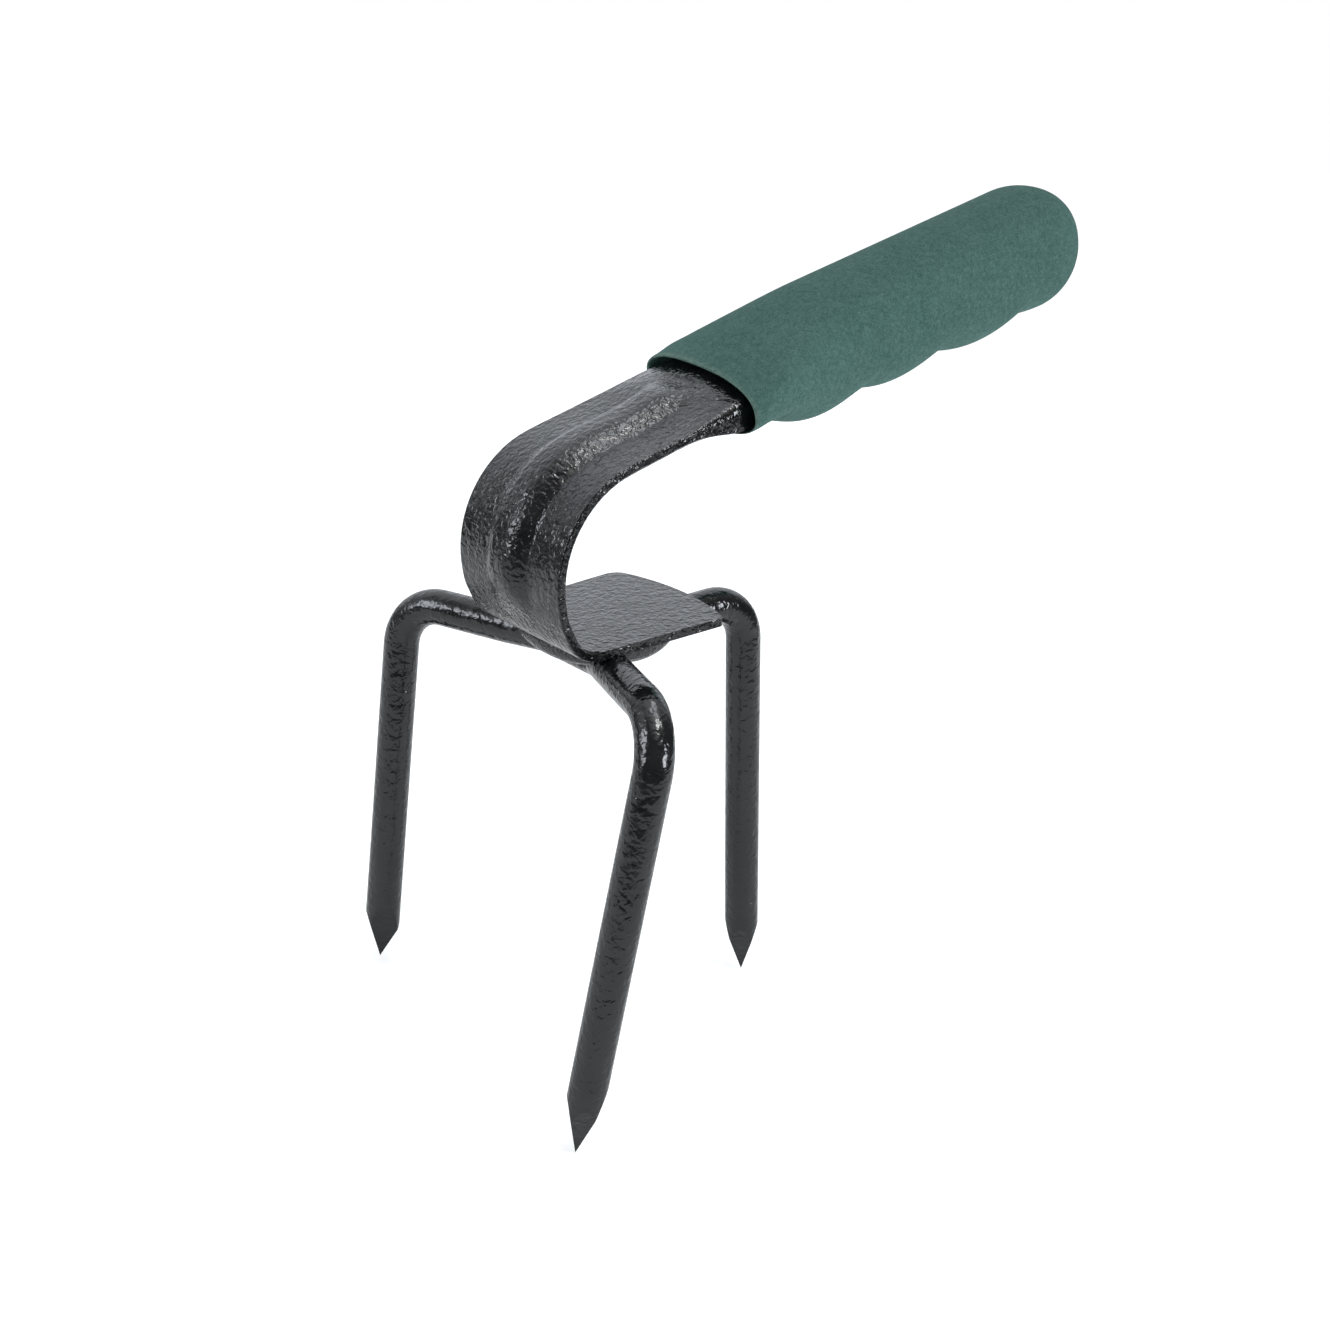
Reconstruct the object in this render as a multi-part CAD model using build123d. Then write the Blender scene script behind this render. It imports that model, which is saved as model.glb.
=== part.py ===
from build123d import *
import os
from math import cos, pi, radians, sin, sqrt, tan

# Three-tine hand cultivator: a pressed steel strap (flat plate, C-shaped neck, channel
# tang), a bent rod for the two outer tines, a bent rod for the centre tine, three weld
# beads and a foam grip.  Millimetres and degrees.
# +X runs from the front of the neck towards the hand, +Z up, +Y to the left when looking
# along +X.  Parts are laid out from a datum on the underside of the plate, on the line of
# symmetry, and are moved on export so that the origin is in the middle of the grip.

hold_x, hold_z = 88.9, 54.7         # middle of the grip, from the plate datum

# Strap: plate
sheet_t = 1.9
strap_w = 34.8
plate_end_w = 37.2                  # width at the free end
plate_corner_x = 24.0               # where the straight sides stop
plate_bow = 3.3                     # rise of the arched free end
plate_right_r, plate_left_r = 1.2, 4.0  # corner radii of the free end

# Strap: neck
bend_x = -7.36                      # where the plate stops and the bend starts
tight_r, tight_angle, tight_steps = 8.05, 60.5, 5   # lower part of the bend, outer face
open_r, open_steps = 23.95, 10      # upper part of the bend, outer face
neck_rise = 13.4                    # angle of the straight top of the neck
tang_lift = 0.95                    # height of the channel above the strap line at the mouth
rib_w, rib_h, rib_flat = 14.4, 2.8, 3.2     # rib along the neck; rib_flat is to its shoulder
rib_foot_blend, rib_shoulder_blend = 0.16, 0.45     # as fractions of the flank
rib_on, rib_full = 11.0, 22.0       # distances along the bend over which the rib rises
rib_fade_from = 0.58                # fraction of the neck top where the rib starts to fade

# Strap: tang
tang_w, tang_flange = 34.4, 3.8     # width and flange depth at the grip mouth
tube_r = 9.3                        # outer radius of the rolled end
tang_in = 100.0                     # reach into the grip

# Foam grip
grip_x, grip_z, grip_rise = 30.9, 42.6, 11.8    # centre of the mouth, angle of the grip
grip_len = 118.5
grip_a, grip_b = 14.0, 14.7         # half width and half height of the body
mouth_a, mouth_b, mouth_c = 20.7, 7.4, 1.7      # half width, half height, lift at the mouth
bore_a, bore_b, bore_c = 19.3, 6.2, 1.5         # the same for the hole in it
mouth_set, mouth_skew, mouth_fade = 2.4, 0.10, 16.0     # the mouth is slightly out of square
shoulder = 0.8                      # extra lift of the sections just behind the mouth
shoulder_rise, shoulder_fall_from, shoulder_fall = 8.0, 14.0, 24.0
grip_dome = 17.0                    # length of the rounded end
grip_flare = 37.5                   # length over which the wide mouth becomes round
grip_end_trim = 0.35                # the last section stops this far short of grip_len
grip_gap = 0.15                     # room between foam and tang
body_power = 2.15                   # superellipse exponent of the body; 2 is an ellipse
bore_mouth_power, bore_tube_power = 2.6, 2.0
ring_points = 24
body_steps, dome_bias = 6, 1.9      # sections per swell, crowding towards the domed end
cusps = [13.4, 43.0, 67.3, 93.8]    # valleys between the finger swells
# (distance from the mouth, how far the underside is drawn in from the plain oval)
underside = [
    (0, 0.0), (4.5, -0.2), (8, -0.25), (11, -0.05), (13.4, 0.2), (15.7, -0.6),
    (18.7, -0.95), (24, -0.8), (29.4, 0.0), (35.9, 1.05), (40, 1.6), (43, 2.1),
    (45.5, 1.2), (49, 0.55), (53, 0.3), (57, 0.35), (62.7, 1.0), (67.3, 1.9),
    (70.7, 0.8), (74.3, 0.0), (79, -0.5), (84.4, -0.55), (88.8, 0.1), (93.8, 1.1),
    (97.7, 0.45), (102, 0.15), (106, 0.0), (119, 0.0)]
underside_scale = 1.15
underside_spread = 1.25             # how quickly the draw-in grows below the mid-height
# distances of the bore sections from the mouth
bore_stations = [-1.0, 1.5, 4.0, 6.5, 9.0, 11.5, 14.0, 16.5, 19.0, 24.0, 29.0, 33.5,
                 grip_flare, tang_in + 1.5]

# Tines: corner points where the unrounded bar lines meet, and tips
rod_d = 8.0
left_corner, left_tip = (-14.8, 45.6, -3.1), (-29.1, 43.2, -89.5)
right_corner, right_tip = (-11.5, -42.2, -3.6), (-35.1, -42.4, -92.3)
back_corner, back_tip = (46.1, 0.0, -4.05), (45.2, -1.9, -101.0)
left_bend_r, right_bend_r, back_bend_r = 10.5, 12.0, 10.0
cross_x, cross_y, cross_r = -1.0, 9.5, 9.0      # straight middle of the outer rod
knee_y, knee_r = 20.0, 60.0         # slight bend between the middle and each corner
rod_clear = 0.01
cross_z = -rod_d / 2 - rod_clear
centre_start_x = 4.2                # inner end of the centre tine rod
point_h = 20.0                      # length of each ground point
point_facing = Vector(0.81, -0.59, 0)   # direction the first pair of ground faces looks along
# slopes of the faces against and along point_facing, slope of the two between them,
# and turn of the point about its rod
left_point = (19.0, 24.6, 15.2, 11.2)
right_point = (18.1, 14.0, 19.8, 3.3)
back_point = (15.1, 16.8, 17.0, -10.6)

# Weld beads
weld_end_r = 0.35                   # radius of the blunt ends
rear_weld_half, rear_weld_r = 11.5, 4.7
rear_weld_x, rear_weld_y, rear_weld_z = 10.5, 5.8, -3.4
front_weld_half, front_weld_r = 14.5, 2.8
front_weld_at = (-6.0, 1.0, -2.05)
plate_clear = 0.02                  # gap between the rear beads and the plate


def lerp(start, end, part):
    return start + (end - start) * part


def smooth(part):
    """Ease from 0 to 1."""
    part = max(0.0, min(1.0, part))
    return part * part * (3 - 2 * part)


def blend(start, end, part):
    """Blend the sizes that the section `end` gives."""
    return {key: lerp(start[key], end[key], part) for key in end}


def along_angle(angle):
    return Vector(cos(radians(angle)), 0, sin(radians(angle)))


def normal_to_angle(angle):
    return along_angle(angle + 90)


def biggest(shape):
    return sorted(shape.solids(), key=lambda solid: solid.volume)[-1]


grip_origin = Vector(grip_x, 0, grip_z)
grip_axis = along_angle(grip_rise)
grip_up = normal_to_angle(grip_rise)

# ------------------------------------------------------------------ strap
# Sizes of the pressed section.  flange is the straight length after the rounded corner,
# flange_angle the turn of that corner; inner_half is where the inner corner starts.
flat_section = dict(
    half_width=strap_w / 2, crown=0.0, corner_r=0.35, flange=1.25, flange_angle=90,
    inner_r=0.15, inner_half=strap_w / 2 - 0.7, inner_flange=0.1)
mouth_section = dict(
    half_width=tang_w / 2, crown=1.9, corner_r=2.4, flange=tang_flange, flange_angle=96,
    inner_r=0.8, inner_half=tang_w / 2 - 2.7, inner_flange=tang_flange)
rolled_section = dict(      # its inner corner follows from the outer one
    half_width=tube_r - 0.2, crown=0.12, corner_r=tube_r - 1.2, flange=3.4,
    flange_angle=142, inner_flange=2.4)


def rib_profile(y):
    """Height of the rib, 0 to 1: rounded crown, straight flank, crisp foot."""
    foot, top = rib_foot_blend, rib_shoulder_blend
    half = rib_w / 2
    flank = (half - y) / (half - rib_flat)      # 0 at the foot, 1 at the shoulder
    if flank < -foot:
        height = 0.0
    elif flank > foot:
        height = flank
    else:
        height = (flank + foot) ** 2 / (4 * foot)
    if height < 1 - top:
        return height
    if height > 1 + top:
        return 1.0
    return height - (height - 1 + top) ** 2 / (4 * top)


def across(half):
    """Spline stations across the strap, equal in number on every section."""
    if half > 12:
        last = 10.2
        right = [0, 1.0, 2.0, 3.0, 4.0, 5.0, 5.9, 6.6, 7.1, 7.7, 8.6, last]
        right += [lerp(last, half, part) for part in (0.5, 1.0)]
    else:
        right = [half * part for part in
                 (0, .08, .16, .24, .32, .4, .48, .56, .63, .7, .77, .84, .92, 1)]
    return [-y for y in right[:0:-1]] + right


def section(origin, normal, rib, half_width, crown, corner_r, flange, flange_angle,
            inner_r, inner_half, inner_flange):
    """Face of the pressed section; origin is on the outer face."""
    def at(y, height):
        return origin + Vector(0, 1, 0) * y + normal * height

    def surface(half, base):
        return [at(y, crown * (1 - (y / half) ** 2) + rib * rib_profile(abs(y)) + base)
                for y in across(half)]

    def corner(side, start_y, base, radius, length):
        """Middle and end of the rounded corner, then the end of the flange."""
        middle, end = radians(flange_angle / 2), radians(flange_angle)
        end_y = start_y + radius * sin(end)
        end_height = base - radius + radius * cos(end)
        return (at(side * (start_y + radius * sin(middle)),
                   base - radius + radius * cos(middle)),
                at(side * end_y, end_height),
                at(side * (end_y + length * cos(end)), end_height - length * sin(end)))

    outer_half = half_width - corner_r
    outside = surface(outer_half, 0.0)
    inside = surface(inner_half, -sheet_t)
    left_mid, left_end, left_lip = corner(1, outer_half, 0.0, corner_r, flange)
    right_mid, right_end, right_lip = corner(-1, outer_half, 0.0, corner_r, flange)
    in_left_mid, in_left_end, in_left_lip = corner(
        1, inner_half, -sheet_t, inner_r, inner_flange)
    in_right_mid, in_right_end, in_right_lip = corner(
        -1, inner_half, -sheet_t, inner_r, inner_flange)
    return Face(Wire([
        Edge.make_spline(outside),
        Edge.make_three_point_arc(outside[-1], left_mid, left_end),
        Edge.make_line(left_end, left_lip),
        Edge.make_line(left_lip, in_left_lip),
        Edge.make_line(in_left_lip, in_left_end),
        Edge.make_three_point_arc(in_left_end, in_left_mid, inside[-1]),
        Edge.make_spline(inside[::-1]),
        Edge.make_three_point_arc(inside[0], in_right_mid, in_right_end),
        Edge.make_line(in_right_end, in_right_lip),
        Edge.make_line(in_right_lip, right_lip),
        Edge.make_line(right_lip, right_end),
        Edge.make_three_point_arc(right_end, right_mid, outside[0]),
    ]))


def bend_stations():
    """(point, angle of travel, distance travelled) on the outer face of the bend."""
    point, angle, travelled = Vector(bend_x, 0, 0), 180.0, 0.0
    stations = [(point, angle, travelled)]
    open_angle = 180.0 - neck_rise - tight_angle
    for radius, turn, steps in ((tight_r, tight_angle, tight_steps),
                                (open_r, open_angle, open_steps)):
        step = turn / steps
        chord = 2 * radius * sin(radians(step / 2))
        for _ in range(steps):
            point = point + along_angle(angle - step / 2) * chord
            angle -= step
            travelled += radius * radians(step)
            stations.append((point, angle, travelled))
    return stations


def neck_sections():
    """Sections of the neck up to the grip mouth, and the origin of the last one."""
    stations = bend_stations()
    faces = []
    for point, angle, travelled in stations:
        rib = rib_h * smooth((travelled - rib_on) / (rib_full - rib_on))
        faces.append(section(point, normal_to_angle(angle), rib, **flat_section))

    # straight top, growing flanges and a crown towards the mouth
    end, angle, _ = stations[-1]
    forward, normal = along_angle(angle), normal_to_angle(angle)
    run = (grip_origin - end).dot(forward)
    # (fraction of the run, blend from flat to mouth section)
    for part, change in [(0.28, 0.0), (0.48, 0.02), (0.64, 0.22), (0.80, 0.62), (1.0, 1.0)]:
        origin = end + forward * (run * part) + normal * (tang_lift * change)
        rib = rib_h * (1 - smooth((part - rib_fade_from) / (1 - rib_fade_from)))
        sizes = blend(flat_section, mouth_section, change)
        faces.append(section(origin, normal, rib, **sizes))
    return faces, origin


def make_tang(mouth_face, mouth_origin):
    """Channel inside the grip that closes into a rolled tube."""
    mouth_height = (mouth_origin - grip_origin).dot(grip_up)
    faces = [mouth_face]
    for part in (0.22, 0.42, 0.62, 0.82, 1.0, 1.8, tang_in / grip_flare):
        change = smooth(part)
        origin = (grip_origin + grip_axis * (grip_flare * part)
                  + grip_up * lerp(mouth_height, tube_r, change))
        sizes = blend(mouth_section, rolled_section, change)
        sizes["inner_r"] = max(mouth_section["inner_r"], sizes["corner_r"] - sheet_t)
        sizes["inner_half"] = sizes["half_width"] - sizes["corner_r"]
        faces.append(section(origin, grip_up, 0.0, **sizes))
    return loft(faces, ruled=True)


def make_plate():
    """Flat plate with an arched free end."""
    half, end_half = strap_w / 2, plate_end_w / 2
    neck_right, neck_left = (bend_x, -half, 0), (bend_x, half, 0)
    end_right, end_left = (plate_corner_x, -end_half, 0), (plate_corner_x, end_half, 0)
    outline = Wire([
        Edge.make_line(neck_right, end_right),
        Edge.make_three_point_arc(end_right, (plate_corner_x + plate_bow, 0, 0), end_left),
        Edge.make_line(end_left, neck_left),
        Edge.make_line(neck_left, neck_right),
    ])
    plate = extrude(Face(outline), amount=sheet_t, dir=(0, 0, 1))
    free_end = plate.edges().filter_by(Axis.Z).sort_by(Axis.X)[-2:].sort_by(Axis.Y)
    plate = fillet(free_end[:1], plate_right_r)
    # the left corner of the wider free end is the leftmost upright edge
    return fillet(plate.edges().filter_by(Axis.Z).sort_by(Axis.Y)[-1:], plate_left_r)


def make_strap():
    faces, mouth_origin = neck_sections()
    neck = loft(faces)
    tang = make_tang(faces[-1], mouth_origin)
    return make_plate() + neck + tang


# ------------------------------------------------------------------ tines
def bent_path(points, radii):
    """Polyline with rounded corners."""
    points = [Vector(*point) for point in points]
    edges = []
    current = points[0]
    for before, corner, after, radius in zip(points, points[1:], points[2:], radii):
        back, ahead = (before - corner).normalized(), (after - corner).normalized()
        half = radians(back.get_angle(ahead) / 2)
        setback = radius / tan(half)
        arc_start, arc_end = corner + back * setback, corner + ahead * setback
        arc_mid = corner + (back + ahead).normalized() * (radius / sin(half) - radius)
        edges.append(Edge.make_line(current, arc_start))
        edges.append(Edge.make_three_point_arc(arc_start, arc_mid, arc_end))
        current = arc_end
    edges.append(Edge.make_line(current, points[-1]))
    return Wire(edges)


def rod(points, radii):
    start = Vector(*points[0])
    direction = (Vector(*points[1]) - start).normalized()
    profile = Plane(origin=start, z_dir=direction) * Circle(rod_d / 2)
    return sweep(profile, path=bent_path(points, radii))


def point_base(tip, corner):
    """Where the round bar stops and the ground point starts."""
    tip = Vector(*tip)
    return tuple(tip + (Vector(*corner) - tip).normalized() * point_h)


def ground_point(tip, corner, slope_against, slope_along, slope_between, turn):
    """Four-sided point: a pyramid cut to the round of the bar."""
    origin = Vector(*tip)
    axis = (Vector(*corner) - origin).normalized()
    facing = (point_facing - axis * point_facing.dot(axis)).normalized()
    facing = facing * cos(radians(turn)) + axis.cross(facing) * sin(radians(turn))
    plane = Plane(origin=origin, x_dir=facing, z_dir=axis)
    low_x = -point_h * tan(radians(slope_against))
    high_x = point_h * tan(radians(slope_along))
    half_y = point_h * tan(radians(slope_between))
    base = [plane.from_local_coords(Vector(x, y, point_h)) for x, y in
            ((low_x, -half_y), (high_x, -half_y), (high_x, half_y), (low_x, half_y))]
    apex = plane.from_local_coords(Vector(0, 0, 0))
    faces = [Face(Wire.make_polygon([base[i], base[(i + 1) % 4], apex])) for i in range(4)]
    faces.append(Face(Wire.make_polygon(base)))
    pyramid = Solid(Shell(faces))
    bar = plane * Cylinder(rod_d / 2, point_h,
                           align=(Align.CENTER, Align.CENTER, Align.MIN))
    return bar & pyramid


def knee(corner, y):
    """Point at y on the way from the straight middle to a corner, seen from above."""
    part = (abs(y) - cross_y) / (abs(corner[1]) - cross_y)
    return (lerp(cross_x, corner[0], part), y, cross_z)


def make_outer_rod():
    bar = rod(
        [point_base(left_tip, left_corner), left_corner, knee(left_corner, knee_y),
         (cross_x, cross_y, cross_z), (cross_x, -cross_y, cross_z),
         knee(right_corner, -knee_y), right_corner, point_base(right_tip, right_corner)],
        [left_bend_r, knee_r, cross_r, cross_r, knee_r, right_bend_r])
    return (bar + ground_point(left_tip, left_corner, *left_point)
            + ground_point(right_tip, right_corner, *right_point))


def make_centre_rod():
    bar = rod([(centre_start_x, 0, back_corner[2]), back_corner,
               point_base(back_tip, back_corner)], [back_bend_r])
    return bar + ground_point(back_tip, back_corner, *back_point)


# ------------------------------------------------------------------ weld beads
def spindle(half_length, radius):
    """Lens of revolution along X with small blunt ends."""
    low, high = (-half_length, 0, 0), (half_length, 0, 0)
    low_rim, high_rim = (-half_length, 0, weld_end_r), (half_length, 0, weld_end_r)
    profile = Face(Wire([
        Edge.make_line(low, low_rim),
        Edge.make_three_point_arc(low_rim, (0, 0, radius), high_rim),
        Edge.make_line(high_rim, high),
        Edge.make_line(high, low)]))
    return revolve(profile, axis=Axis.X, revolution_arc=360)


def make_rear_weld(side, outer_rod):
    """Bead under the plate beside the centre rod, behind the outer rod."""
    on_base = (Align.CENTER, Align.CENTER, Align.MIN)
    above = Pos(0, 0, -plate_clear) * Box(200, 200, 40, align=on_base)
    centre_bar = Pos(centre_start_x, 0, back_corner[2]) * Rot(0, 90, 0) * Cylinder(
        rod_d / 2 + rod_clear, 60, align=on_base)
    bead = Pos(rear_weld_x, side * rear_weld_y, rear_weld_z) * spindle(
        rear_weld_half, rear_weld_r)
    return biggest(biggest(bead - above - centre_bar) - outer_rod)


def make_front_weld(outer_rod, strap):
    """Bead across the front of the outer rod, up on to the strap bend."""
    bead = Pos(*front_weld_at) * Rot(0, 0, 90) * spindle(front_weld_half, front_weld_r)
    return biggest(biggest(bead - outer_rod) - strap)


# ------------------------------------------------------------------ foam grip
def ring(distance, half_width, half_height, lift, draw_in, power):
    """Superellipse section at a distance from the mouth, set back near the mouth."""
    points = []
    for i in range(ring_points):
        turn = 2 * pi * i / ring_points
        across_part, up_part = cos(turn), sin(turn)
        y = half_width * abs(across_part) ** (2 / power) * (1 if across_part >= 0 else -1)
        z = half_height * abs(up_part) ** (2 / power) * (1 if up_part >= 0 else -1)
        if up_part < 0:
            z += draw_in * smooth(-up_part * underside_spread)
        setback = (mouth_set + mouth_skew * y) * (1 - smooth(distance / mouth_fade))
        points.append(grip_origin + grip_axis * (distance + setback)
                      + Vector(0, 1, 0) * y + grip_up * (z + lift))
    return Wire(Edge.make_spline(points, periodic=True))


def underside_at(distance):
    for (start, start_in), (end, end_in) in zip(underside, underside[1:]):
        if distance <= end:
            part = (distance - start) / (end - start)
            return underside_scale * lerp(start_in, end_in, part)


def body_ring(distance):
    change = smooth(distance / grip_flare)
    lift = mouth_c * (1 - change) + shoulder * smooth(distance / shoulder_rise) * (
        1 - smooth((distance - shoulder_fall_from) / shoulder_fall))
    into_dome = max(0.0, (distance - (grip_len - grip_dome)) / grip_dome)
    shrink = sqrt(max(0.0, 1 - into_dome ** 2))
    draw_in = underside_at(distance) * (1 - into_dome)
    return ring(distance, lerp(mouth_a, grip_a, change) * shrink,
                lerp(mouth_b, grip_b, change) * shrink, lift, draw_in, body_power)


def make_body():
    """One smooth loft per finger swell, so that the valleys stay crisp."""
    bounds = [0.0] + cusps + [grip_len - grip_end_trim]
    body = None
    for start, end in zip(bounds, bounds[1:]):
        parts = [i / body_steps for i in range(body_steps + 1)]
        if end == bounds[-1]:
            parts = [1 - (1 - part) ** dome_bias for part in parts]
        swell = Solid.make_loft([body_ring(lerp(start, end, part)) for part in parts],
                                ruled=False)
        body = swell if body is None else body + swell
    return body


def make_bore():
    """Wide slot at the mouth closing to a round hole on the tube."""
    rings = []
    for distance in bore_stations:
        change = smooth(distance / grip_flare)
        rings.append(ring(
            distance,
            lerp(bore_a, tube_r + 0.35 + grip_gap, change),
            lerp(bore_b, tube_r + 0.4 + grip_gap, change),
            bore_c * (1 - change), 0,
            lerp(bore_mouth_power, bore_tube_power, change)))
    return Solid.make_loft(rings, ruled=True)


strap = make_strap()
outer_rod = make_outer_rod()
parts = {
    "pressed_steel_neck": strap,
    "outer_tine_rod": outer_rod,
    "centre_tine_rod": make_centre_rod(),
    "weld_bead_front": make_front_weld(outer_rod, strap),
    "weld_bead_left": make_rear_weld(1, outer_rod),
    "weld_bead_right": make_rear_weld(-1, outer_rod),
    "foam_grip": make_body() - make_bore(),
}
os.makedirs("parts", exist_ok=True)
for name, shape in parts.items():
    export_step(Pos(-hold_x, 0, -hold_z) * shape, f"parts/{name}.step")
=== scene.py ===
"""Three-tined hand tool: black hammered enamel with a green foam grip, stood on its tine tips.

The grip runs towards +X and rises; its open mouth is at the -X end.  Y is across the tool.
Sizes are in mm from the plate datum; places are moved to the origin and put in metres when built.
"""
import math

import bmesh
import bpy
import numpy as np
from mathutils import Matrix, Vector


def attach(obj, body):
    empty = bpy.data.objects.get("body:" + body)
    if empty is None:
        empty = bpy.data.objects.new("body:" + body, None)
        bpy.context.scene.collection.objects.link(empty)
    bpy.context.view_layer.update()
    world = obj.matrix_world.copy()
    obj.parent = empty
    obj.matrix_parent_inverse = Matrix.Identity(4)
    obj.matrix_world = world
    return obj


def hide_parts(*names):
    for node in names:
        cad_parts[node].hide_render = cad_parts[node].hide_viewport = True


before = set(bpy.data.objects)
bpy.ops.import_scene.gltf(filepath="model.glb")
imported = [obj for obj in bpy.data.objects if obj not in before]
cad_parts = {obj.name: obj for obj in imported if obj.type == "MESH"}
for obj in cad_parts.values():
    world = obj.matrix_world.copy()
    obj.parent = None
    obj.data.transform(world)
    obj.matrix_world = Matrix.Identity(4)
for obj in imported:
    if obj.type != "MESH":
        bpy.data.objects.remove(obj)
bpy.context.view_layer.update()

MM = 0.001
ORIGIN = (88.9, 0.0, 54.7)            # the scene origin, seen from the plate datum

# ------------------------------------------------------------------ grip dimensions
GRIP_START = np.array([30.9, 0, 42.6])   # centre of the mouth
GRIP_RISE = math.radians(11.8)
GRIP_LENGTH = 118.5
DOME_LENGTH = 17.0                    # rounded closed end
FLARE_LENGTH = 37.5                   # the flat mouth becomes the round body over this length
TUBE_RADIUS, TUBE_GAP = 9.3, 0.15
BORE_DEPTH = 100.0 + 1.4              # tang length plus clearance

# Cross-sections: half width, half height, centre lift, superellipse exponent, underside drop
MOUTH_SKIN = np.array([20.7, 7.4, 1.7, 2.15, 0])
BODY_SKIN = np.array([14.0, 14.7, 0, 2.15, 0])
MOUTH_BORE = np.array([19.3, 6.2, 1.5, 2.6, 0])
BODY_BORE = np.array([TUBE_RADIUS + 0.35 + TUBE_GAP, TUBE_RADIUS + 0.4 + TUBE_GAP, 0, 2.0, 0])
CENTRE, DROP = 2, 4                   # places in a cross-section

# The mouth is cut back, further towards +Y, and squares up over the fade length
MOUTH_SETBACK, MOUTH_SKEW, MOUTH_FADE = 2.4, 0.10, 16.0
LIP_DEPTH, LIP_STEPS = 1.2, 8
BORE_LIP_STATION = 1.0                # the lip meets the bore's section taken here
# The cut edge of the mouth is paler foam plus a painted highlight along the rounded lip
LIP_PALENESS_AND_HIGHLIGHT = {3: 0.5, 4: 0.9, 5: 1.0, 6: 0.9, 7: 0.4}   # by lip ring, from the bore outwards

SHOULDER_HEIGHT = 0.8                 # low swelling just behind the mouth
SHOULDER_RISE = 8.0
SHOULDER_FALL_START, SHOULDER_FALL = 14.0, 24.0

# Finger grooves: the underside is smooth between sharp cusps
CUSPS = [13.4, 43.0, 67.3, 93.8]
DROP_GAIN = 1.15
# distance along the grip, upward shift of the underside
UNDERSIDE = np.array([
    (0, 0.0), (4.5, -0.2), (8, -0.25), (11, -0.05), (13.4, 0.2),
    (15.7, -0.6), (18.7, -0.95), (24, -0.8), (29.4, 0.0), (35.9, 1.05), (40, 1.6), (43, 2.1),
    (45.5, 1.2), (49, 0.55), (53, 0.3), (57, 0.35), (62.7, 1.0), (67.3, 1.9),
    (70.7, 0.8), (74.3, 0.0), (79, -0.5), (84.4, -0.55), (88.8, 0.1), (93.8, 1.1),
    (97.7, 0.45), (102, 0.15), (106, 0.0), (119, 0.0)])

# Mesh stations along the grip
SEGMENTS = 144
BORE_STATIONS = [BORE_DEPTH, 90, 75, 60, 48, FLARE_LENGTH, 33.5, 29, 24, 19, 16.5, 14, 11.5, 9,
                 6.5, 4, 2.6, 1.6]
SKIN_START, SKIN_STEP = 2.0, 0.75
CUSP_CLEARANCE, CUSP_OFFSET = 0.3, 0.22
DOME_STEPS = 29

# ------------------------------------------------------------------ floor and camera
TINE_TIPS = ((-29.1, 43.2, -89.5), (-35.1, -42.4, -92.3), (45.2, -1.9, -101.0))
FLOOR_SIZE = 8.0                      # metres
FLOOR_CLEARANCE = 0.0002              # metres below the tips

CAMERA_PLACE = (-210.84, -289.06, 143.36)
CAMERA_AZIMUTH, CAMERA_ELEVATION, CAMERA_ROLL = -39.0, 23.04, -0.28   # degrees
SENSOR_WIDTH, FOCAL_LENGTH = 36.0, 49.565504


def to_scene(point):
    """Scene place, in metres, of a point measured from the plate datum."""
    return (Vector(point) - Vector(ORIGIN)) * MM


def direction(azimuth, elevation):
    """Unit direction from degrees: azimuth 0 is -Y, 90 is +X."""
    a, e = math.radians(azimuth), math.radians(elevation)
    return (math.sin(a) * math.cos(e), -math.cos(a) * math.cos(e), math.sin(e))


# ------------------------------------------------------------------ foam grip
GRIP_AXIS = np.array([math.cos(GRIP_RISE), 0, math.sin(GRIP_RISE)])
GRIP_UP = np.array([-math.sin(GRIP_RISE), 0, math.cos(GRIP_RISE)])
ACROSS = np.array([0, 1.0, 0])


def smooth(u):
    u = np.clip(u, 0.0, 1.0)
    return u * u * (3 - 2 * u)


def fit_underside():
    """One cubic per stretch between cusps: start, end, coefficients."""
    limits = [UNDERSIDE[0, 0], *CUSPS, UNDERSIDE[-1, 0]]
    arcs = []
    for start, end in zip(limits[:-1], limits[1:]):
        along, shift = UNDERSIDE[(UNDERSIDE[:, 0] >= start) & (UNDERSIDE[:, 0] <= end)].T
        arcs.append((start, end, np.polyfit(along - start, shift, 3)))
    return arcs


UNDERSIDE_ARCS = fit_underside()


def underside_drop(s):
    start, cubic = next((start, cubic) for start, end, cubic in UNDERSIDE_ARCS if s <= end)
    return DROP_GAIN * np.polyval(cubic, s - start)


def flare(mouth, body, s):
    return mouth + (body - mouth) * smooth(s / FLARE_LENGTH)


def skin_section(s):
    section = flare(MOUTH_SKIN, BODY_SKIN, s)
    fall = smooth((s - SHOULDER_FALL_START) / SHOULDER_FALL)
    section[CENTRE] += SHOULDER_HEIGHT * (smooth(s / SHOULDER_RISE) * (1 - fall))
    section[DROP] = underside_drop(s)
    return section


def ring(s, section):
    """Points of one superellipse ring, s mm along the grip."""
    half_width, half_height, centre, exponent, drop = section
    angle = np.linspace(0, 2 * math.pi, SEGMENTS, endpoint=False)
    cos, sin = np.cos(angle), np.sin(angle)
    y = half_width * np.sign(cos) * np.abs(cos) ** (2 / exponent)
    z = half_height * np.sign(sin) * np.abs(sin) ** (2 / exponent)
    z = z + drop * smooth(-sin * 1.25)    # lower half only
    along = s + (MOUTH_SETBACK + MOUTH_SKEW * y) * (1 - smooth(s / MOUTH_FADE))
    return (GRIP_START + along[:, None] * GRIP_AXIS + y[:, None] * ACROSS
            + (z + centre)[:, None] * GRIP_UP)


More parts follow.
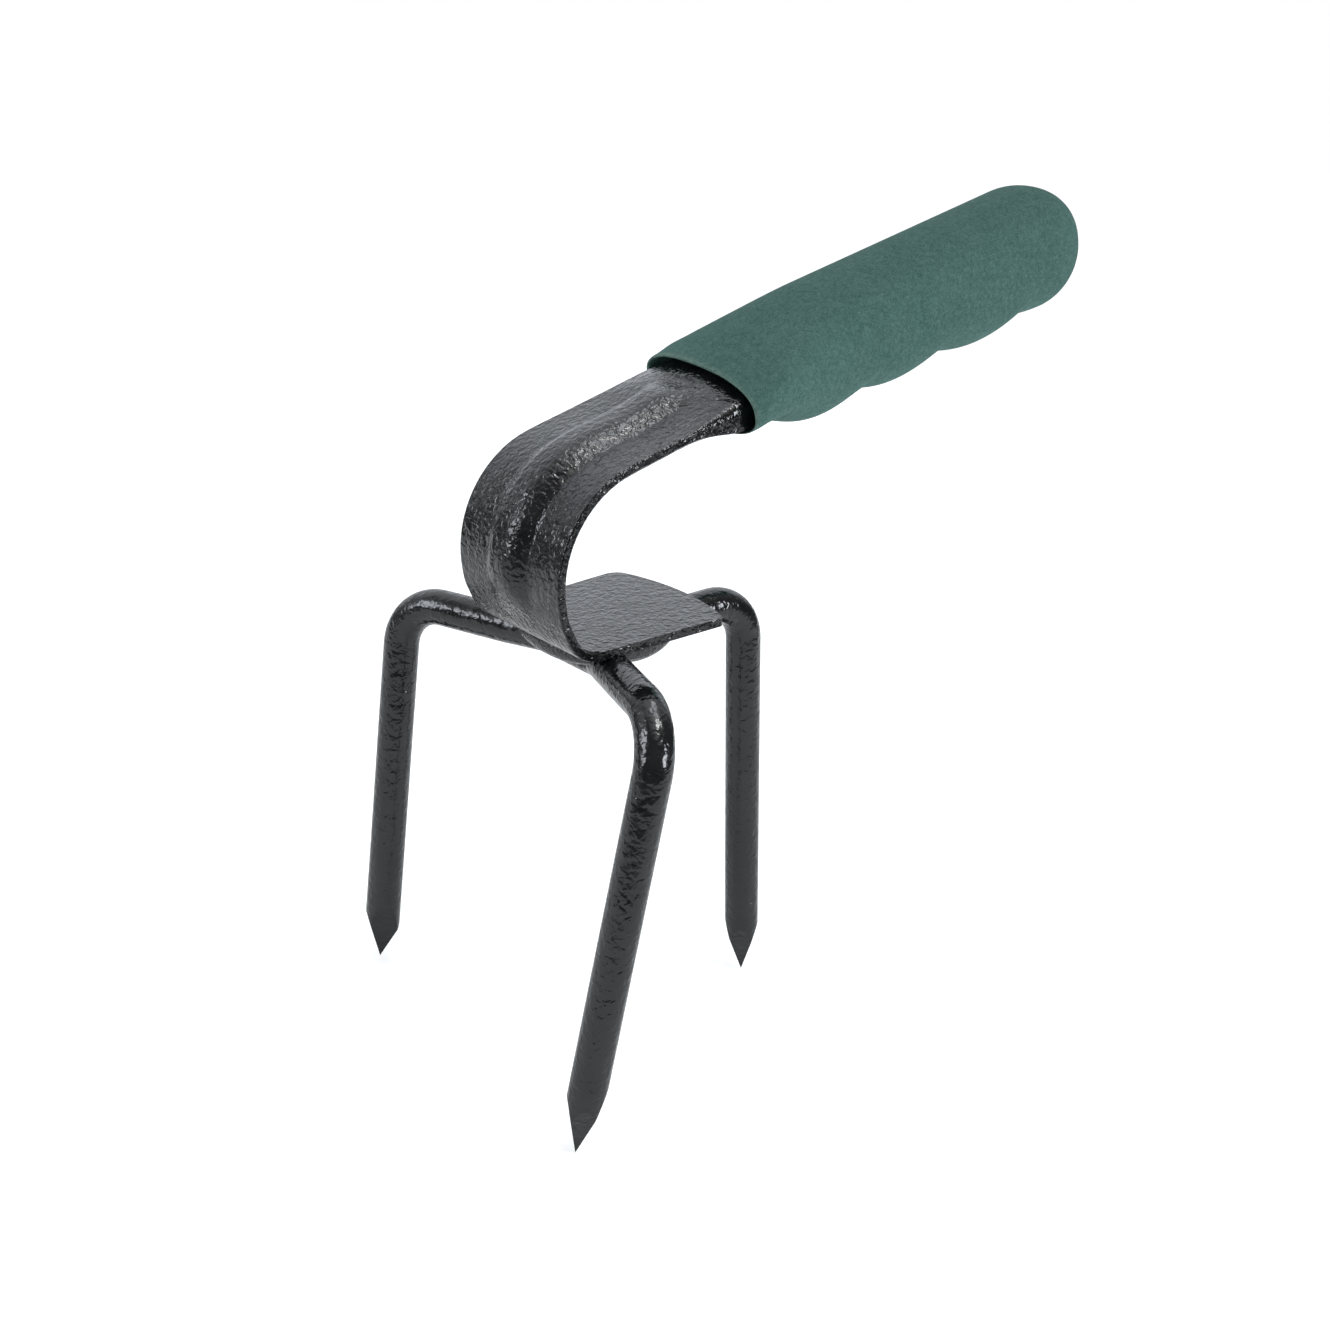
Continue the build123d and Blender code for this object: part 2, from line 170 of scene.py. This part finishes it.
def grip_rings():
    """Rings from the blind end of the bore, round the lip and along the skin to the dome."""
    rings = [ring(s, flare(MOUTH_BORE, BODY_BORE, s)) for s in BORE_STATIONS]

    inner = flare(MOUTH_BORE, BODY_BORE, BORE_LIP_STATION)
    outer = skin_section(LIP_DEPTH)
    for k in range(LIP_STEPS + 1):
        turn = math.pi * k / LIP_STEPS
        outward = (1 - math.cos(turn)) / 2
        rings.append(ring(LIP_DEPTH - LIP_DEPTH * math.sin(turn),
                          inner + (outer - inner) * outward))

    # Even stations, except close to a cusp, where three hold its edge sharp
    dome_start = GRIP_LENGTH - DOME_LENGTH
    stations = [s for s in np.arange(SKIN_START, dome_start, SKIN_STEP)
                if all(abs(s - cusp) > CUSP_CLEARANCE for cusp in CUSPS)]
    stations += [cusp + offset for cusp in CUSPS for offset in (-CUSP_OFFSET, 0, CUSP_OFFSET)]
    rings += [ring(s, skin_section(s)) for s in sorted(stations)]

    for turn in np.linspace(0, math.pi / 2, DOME_STEPS + 1)[:-1]:
        s = dome_start + DOME_LENGTH * math.sin(turn)
        shrink = math.cos(turn)
        rings.append(ring(s, skin_section(s) * np.array([shrink, shrink, 1, 1, shrink])))
    return rings


def make_grip():
    rings = grip_rings()
    poles = [GRIP_START + GRIP_AXIS * s for s in (BORE_DEPTH, GRIP_LENGTH)]
    verts = (np.vstack(rings + poles) - np.array(ORIGIN)) * MM

    last_ring = (len(rings) - 1) * SEGMENTS
    bore_pole = len(rings) * SEGMENTS
    dome_pole = bore_pole + 1
    pairs = [(j, (j + 1) % SEGMENTS) for j in range(SEGMENTS)]
    faces = [(row + j, row + k, row + SEGMENTS + k, row + SEGMENTS + j)
             for row in range(0, last_ring, SEGMENTS) for j, k in pairs]
    for j, k in pairs:
        faces.append((bore_pole, k, j))
        faces.append((dome_pole, last_ring + j, last_ring + k))

    mesh = bpy.data.meshes.new("foam_grip_soft")
    mesh.from_pydata([tuple(v) for v in verts], [], faces)
    mesh.update()
    for polygon in mesh.polygons:
        polygon.use_smooth = True
    grip = bpy.data.objects.new("foam_grip_soft", mesh)
    bpy.context.scene.collection.objects.link(grip)
    bm = bmesh.new()
    bm.from_mesh(mesh)
    bmesh.ops.recalc_face_normals(bm, faces=bm.faces)
    bm.to_mesh(mesh)
    bm.free()

    # how much each point belongs to the cut edge of the mouth, which is paler foam plus a painted
    # highlight along the rounded lip
    lip = mesh.attributes.new("lip", "FLOAT", "POINT")
    for lip_ring, paleness_and_highlight in LIP_PALENESS_AND_HIGHLIGHT.items():
        first = (len(BORE_STATIONS) + lip_ring) * SEGMENTS
        for j in range(SEGMENTS):
            lip.data[first + j].value = paleness_and_highlight
    return grip


grip = make_grip()


# ------------------------------------------------------------------ shader helpers
def set_inputs(tree, node, inputs):
    """Link each input that is given a socket, and set the others."""
    for key, value in inputs.items():
        if isinstance(value, bpy.types.NodeSocket):
            tree.links.new(value, node.inputs[key])
        else:
            node.inputs[key].default_value = value


def add_node(tree, kind, inputs=None, **settings):
    node = tree.nodes.new("ShaderNode" + kind)
    for name, value in settings.items():
        setattr(node, name, value)
    set_inputs(tree, node, inputs or {})
    return node


def new_material(name):
    material = bpy.data.materials.new(name)
    material.use_nodes = True
    tree = material.node_tree
    tree.nodes.clear()
    output = add_node(tree, "OutputMaterial")
    surface = add_node(tree, "BsdfPrincipled")
    tree.links.new(surface.outputs["BSDF"], output.inputs["Surface"])
    return material, tree, surface


def object_coords(tree, scale=1 / MM):
    """Object coordinates, in mm unless scaled otherwise."""
    source = add_node(tree, "TexCoord").outputs["Object"]
    return add_node(tree, "Mapping", {"Vector": source, "Scale": (scale,) * 3}).outputs["Vector"]


def noise(tree, vector, scale, detail=2.0, roughness=0.5, distortion=0.0):
    return add_node(tree, "TexNoise", {
        "Vector": vector, "Scale": scale, "Detail": detail,
        "Roughness": roughness, "Distortion": distortion}).outputs["Fac"]


def ramp(tree, factor, stops):
    """Colour ramp from (position, rgb) stops."""
    node = add_node(tree, "ValToRGB", {"Fac": factor})
    elements = node.color_ramp.elements
    for element, (position, _) in zip(elements, (stops[0], stops[-1])):
        element.position = position
    inner = [elements.new(position) for position, _ in stops[1:-1]]
    for element, (_, rgb) in zip([elements[0], *inner, elements[-1]], stops):
        element.color = (*rgb, 1)
    return node.outputs["Color"]


def calculate(tree, operation, *values):
    return add_node(tree, "Math", dict(enumerate(values)), operation=operation).outputs[0]


def bump(tree, height, strength, distance, **normal):
    return add_node(tree, "Bump", {"Height": height, "Strength": strength,
                                   "Distance": distance, **normal}).outputs["Normal"]


def soft_step(tree, value, **limits):
    """Smoothstep of a value; limits are from_min, from_max, to_min and to_max."""
    inputs = {key.replace("_", " ").title(): limit for key, limit in limits.items()}
    return add_node(tree, "MapRange", {"Value": value, **inputs},
                    interpolation_type="SMOOTHSTEP").outputs[0]


# ------------------------------------------------------------------ materials
ENAMEL_COLOR = (0.0050, 0.0056, 0.0062)


def enamel(name, dimple=1.3, depth=1.0, roughness=0.15):
    """Black hammered enamel: soft dimples (size in mm) that catch the light as small specks."""
    material, tree, surface = new_material(name)
    place = object_coords(tree)
    dimples = noise(tree, place, scale=1.0 / dimple, detail=1.0, roughness=0.45, distortion=0.5)
    patches = noise(tree, place, scale=0.16)
    ripple = noise(tree, place, scale=2.1, detail=1.0)
    hammered = bump(tree, dimples, strength=1.0, distance=0.00038 * depth)
    set_inputs(tree, surface, {
        "Base Color": ramp(tree, patches, [(0.35, [c * 0.6 for c in ENAMEL_COLOR]),
                                           (0.65, [c * 1.6 for c in ENAMEL_COLOR])]),
        "Roughness": ramp(tree, patches, [(0.35, (roughness * 0.7,) * 3),
                                          (0.65, (roughness * 1.5,) * 3)]),
        "Normal": bump(tree, ripple, strength=1.0, distance=0.00004, Normal=hammered),
        "Specular IOR Level": 0.56})
    return material


def foam(name):
    """Closed-cell foam: matt, finely mottled, with painted shade on top and painted light
    underneath; the mouth's cut edge is paler, with a painted highlight on the lip.
    """
    material, tree, surface = new_material(name)
    place = object_coords(tree)
    blotches = noise(tree, place, scale=0.11)
    mottle = noise(tree, place, scale=0.85, roughness=0.6)
    grain = noise(tree, place, scale=2.6, roughness=0.7)
    normal = add_node(tree, "NewGeometry").outputs["Normal"]
    normal_z = add_node(tree, "SeparateXYZ", {0: normal}).outputs["Z"]
    painted_shading_mask = calculate(tree, "MULTIPLY_ADD", normal_z, 0.5, 0.5)    # 0 below, 1 above
    lip = add_node(tree, "Attribute", attribute_name="lip").outputs["Fac"]

    color = ramp(tree, blotches, [(0.30, (0.0740, 0.1540, 0.1340)),
                                  (0.70, (0.0850, 0.1690, 0.1490))])
    tints = (
        (mottle, [(0.34, (0.84, 0.87, 0.87)), (0.66, (1.14, 1.11, 1.11))]),
        (grain, [(0.36, (0.72, 0.78, 0.78)), (0.64, (1.22, 1.18, 1.18))]),
        # painted shade on top and painted light underneath, flattening the lit shading of the
        # foam
        (painted_shading_mask, [(0.12, (1.34, 1.26, 1.28)), (0.50, (1.10, 1.06, 1.07)),
                     (0.68, (0.98, 0.96, 0.96)), (0.97, (0.64, 0.63, 0.63))]),
        # paler cut foam plus a painted highlight along the rounded lip of the mouth
        (lip, [(0.0, (1.0, 1.0, 1.0)), (1.0, (1.60, 1.28, 1.25))]))
    for factor, stops in tints:
        # sockets 6, 7 and output 2 are the colour ones
        color = add_node(tree, "Mix", {"Factor": 1.0, 6: color, 7: ramp(tree, factor, stops)},
                         data_type="RGBA", blend_type="MULTIPLY").outputs[2]
    set_inputs(tree, surface, {
        "Base Color": color, "Roughness": 0.95, "Specular IOR Level": 0.12,
        "Normal": bump(tree, grain, strength=0.5, distance=0.00016)})
    return material


black = enamel("black_enamel")
rod_black = enamel("black_enamel_rod", dimple=1.6, depth=0.62, roughness=0.12)
weld_black = enamel("black_enamel_weld", dimple=1.0, depth=1.2)
green = foam("green_foam")


def piece_material(name):
    if name == "foam_grip":
        return green
    if name.endswith("_rod"):
        return rod_black
    return weld_black if name.startswith("weld") else black


for name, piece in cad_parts.items():
    piece.data.materials.clear()
    piece.data.materials.append(piece_material(name))
grip.data.materials.append(green)
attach(grip, "root")
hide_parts("foam_grip")


# ------------------------------------------------------------------ floor
def floor_material(height):
    """White, with a lit patch that fades with distance from a point on the +Y side."""
    material, tree, surface = new_material("floor_white")
    clouds = noise(tree, object_coords(tree, scale=1.0), scale=1.5)
    white = ramp(tree, clouds, [(0.3, (0.74, 0.745, 0.74)), (0.7, (0.76, 0.765, 0.76))])
    position = add_node(tree, "NewGeometry").outputs["Position"]
    distance = add_node(tree, "VectorMath", {0: position, 1: (0.06, 0.16, height)},
                        operation="DISTANCE").outputs["Value"]
    fade = soft_step(tree, distance, from_min=0.42, from_max=0.78, to_min=1.0, to_max=0.15)
    color = add_node(tree, "VectorMath", {0: white, "Scale": fade}, operation="SCALE").outputs[0]
    # Only the camera sees the glow, which is stronger where the patch has faded
    camera_ray = add_node(tree, "LightPath").outputs["Is Camera Ray"]
    glow = calculate(tree, "MULTIPLY_ADD", fade, -0.60, 1.02)
    set_inputs(tree, surface, {
        "Base Color": color, "Roughness": 0.95, "Specular IOR Level": 0.0,
        "Emission Color": (1, 1, 1, 1),
        "Emission Strength": calculate(tree, "MULTIPLY", glow, camera_ray)})
    return material


def make_floor():
    """Plane through the three tine tips."""
    tips = [to_scene(tip) for tip in TINE_TIPS]
    normal = (tips[1] - tips[0]).cross(tips[2] - tips[0]).normalized()
    centre = (tips[0] + tips[1] + tips[2]) / 3 - normal * FLOOR_CLEARANCE
    bpy.ops.mesh.primitive_plane_add(size=FLOOR_SIZE)
    floor = bpy.context.object
    floor.name = "floor"
    floor.rotation_mode = "QUATERNION"
    floor.rotation_quaternion = Vector((0, 0, 1)).rotation_difference(normal)
    floor.location = centre
    floor.data.materials.append(floor_material(centre.z))


make_floor()

# ------------------------------------------------------------------ light
COOL, PLAIN = (0.95, 1.0, 1.07), (1.0, 1.0, 1.0)
# Soft-edged round lamps: azimuth, elevation, radius at full light, radius at none (all
# degrees), brightness, tint
LAMPS = (
    (0, 90, 10, 179, 0.24, PLAIN),    # dim room
    (150, 32, 25, 68, 1.0, COOL),     # bright wall, +X +Y
    (-116, 26, 12, 30, 0.8, COOL),    # halo and core, -X +Y
    (-112, 25, 7, 15, 6.5, COOL),
    (27, 66, 12, 30, 0.9, PLAIN),     # halo and core, high, +X -Y
    (25, 64, 5, 10, 14.0, PLAIN),
    (-20, 85, 8, 32, 0.8, PLAIN),     # overhead
    (98, 73, 4, 14, 4.2, COOL),       # high, +X
    (29, 8, 6, 12, 14.0, COOL))       # low, +X -Y


def lamp_color(tree, view, azimuth, elevation, inner, outer, brightness, tint):
    closeness = add_node(tree, "VectorMath", {0: view, 1: direction(azimuth, elevation)},
                         operation="DOT_PRODUCT").outputs["Value"]
    light = soft_step(tree, closeness, from_min=math.cos(math.radians(outer)),
                      from_max=math.cos(math.radians(inner)))
    full = tuple(t * brightness for t in tint)
    return add_node(tree, "VectorMath", {0: full, "Scale": light}, operation="SCALE").outputs[0]


def make_world():
    """The lamps light the tool; the camera itself sees plain white."""
    world = bpy.data.worlds.new("studio")
    bpy.context.scene.world = world
    world.use_nodes = True
    tree = world.node_tree
    tree.nodes.clear()
    view = add_node(tree, "TexCoord").outputs["Generated"]
    total, *others = [lamp_color(tree, view, *lamp) for lamp in LAMPS]
    for color in others:
        total = add_node(tree, "VectorMath", {0: total, 1: color}, operation="ADD").outputs[0]
    lit = add_node(tree, "Background", {"Color": total, "Strength": 1.0})
    white = add_node(tree, "Background", {"Color": (1, 1, 1, 1), "Strength": 1.0})
    camera_ray = add_node(tree, "LightPath").outputs["Is Camera Ray"]
    mix = add_node(tree, "MixShader", {0: camera_ray, 1: lit.outputs[0], 2: white.outputs[0]})
    add_node(tree, "OutputWorld", {"Surface": mix.outputs[0]})


make_world()


# ------------------------------------------------------------------ camera
def make_camera():
    azimuth, roll = math.radians(CAMERA_AZIMUTH), math.radians(CAMERA_ROLL)
    back = Vector(direction(CAMERA_AZIMUTH, CAMERA_ELEVATION))
    level = Vector((math.cos(azimuth), math.sin(azimuth), 0))
    upright = back.cross(level)
    right = level * math.cos(roll) + upright * math.sin(roll)
    up = upright * math.cos(roll) - level * math.sin(roll)
    data = bpy.data.cameras.new("camera")
    data.sensor_width = SENSOR_WIDTH
    data.lens = FOCAL_LENGTH
    data.clip_start = 0.01
    camera = bpy.data.objects.new("camera", data)
    turn = Matrix((right, up, back)).transposed().to_4x4()
    camera.matrix_world = Matrix.Translation(to_scene(CAMERA_PLACE)) @ turn
    bpy.context.scene.collection.objects.link(camera)
    bpy.context.scene.camera = camera
    bpy.context.scene.view_settings.view_transform = "Standard"


make_camera()
